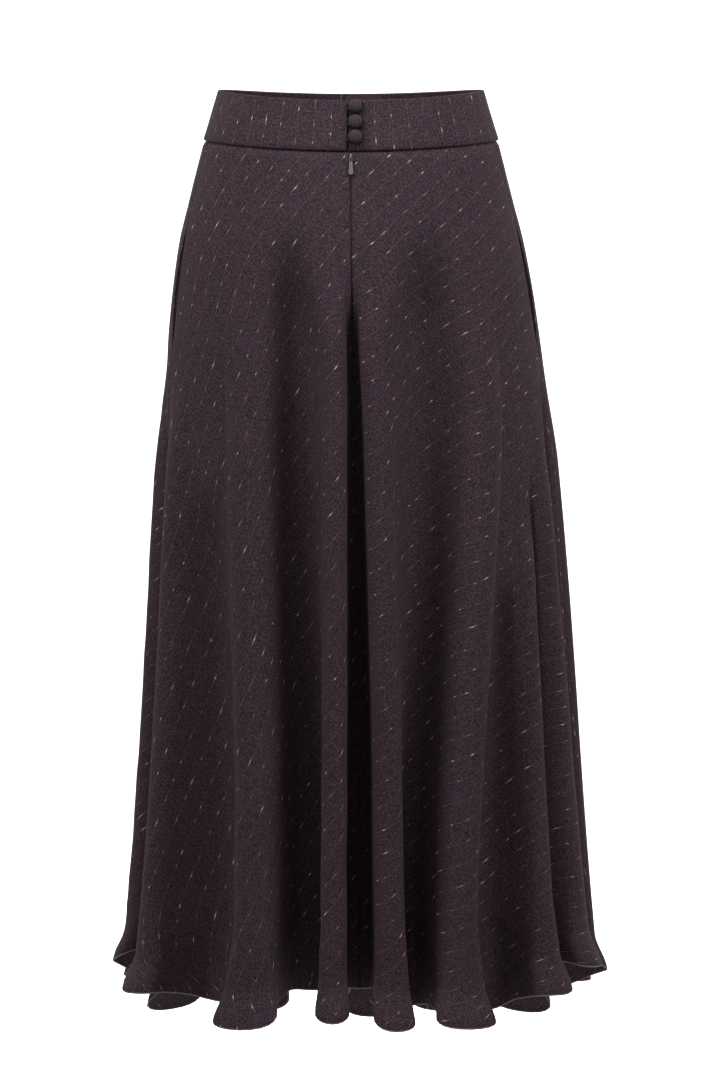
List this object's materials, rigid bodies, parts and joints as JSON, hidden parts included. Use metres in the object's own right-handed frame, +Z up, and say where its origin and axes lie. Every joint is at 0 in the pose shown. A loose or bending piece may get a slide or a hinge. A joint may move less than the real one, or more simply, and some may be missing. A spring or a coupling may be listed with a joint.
{
  "type": "a-line midi skirt",
  "caption": "Flared midi skirt in dark slubbed pinstripe suiting, shown worn and empty, with a waistband, covered dome buttons with loops, a concealed zip and side pockets.",
  "frame": {"origin": "middle of the waistband at half its height, on the body's axis, where the wearer's waist holds the skirt up", "axes": "+Z up along the body; -Y is the wearer's front, where the zip and buttons are; +X is the wearer's left"},
  "size_m": [0.4631, 0.3932, 0.8839],
  "materials": {
    "suiting": "matt wool-like suiting, dark aubergine brown, with slubbed cream and rust pinstripes",
    "pocketing": "plain matt lining cotton",
    "button_cover": "the suiting, stretched over a dome",
    "loop_cord": "fine twisted cord",
    "label": "bare satin-woven tape",
    "zip_metal": "smooth enamel, mauve grey"
  },
  "bodies": {
    "skirt": {"waistband": "suiting", "skirt_front_right": "suiting", "skirt_front_left": "suiting", "skirt_back": "suiting", "pocket_bag_right": "pocketing", "pocket_bag_left": "pocketing", "button_1": "button_cover", "button_2": "button_cover", "button_3": "button_cover", "button_loop_1": "loop_cord", "button_loop_2": "loop_cord", "button_loop_3": "loop_cord", "label": "label", "zip_slider": "zip_metal"},
    "zip_pull": {"zip_pull_tab": "zip_metal"}
  },
  "joints": [
    {"name": "zip_pull_swing", "type": "hinge", "parent": "skirt", "child": "zip_pull", "pos_m": [0, -0.1064, -0.04214], "axis": [-1, 0, 0], "range_deg": [0, 140]}
  ]
}
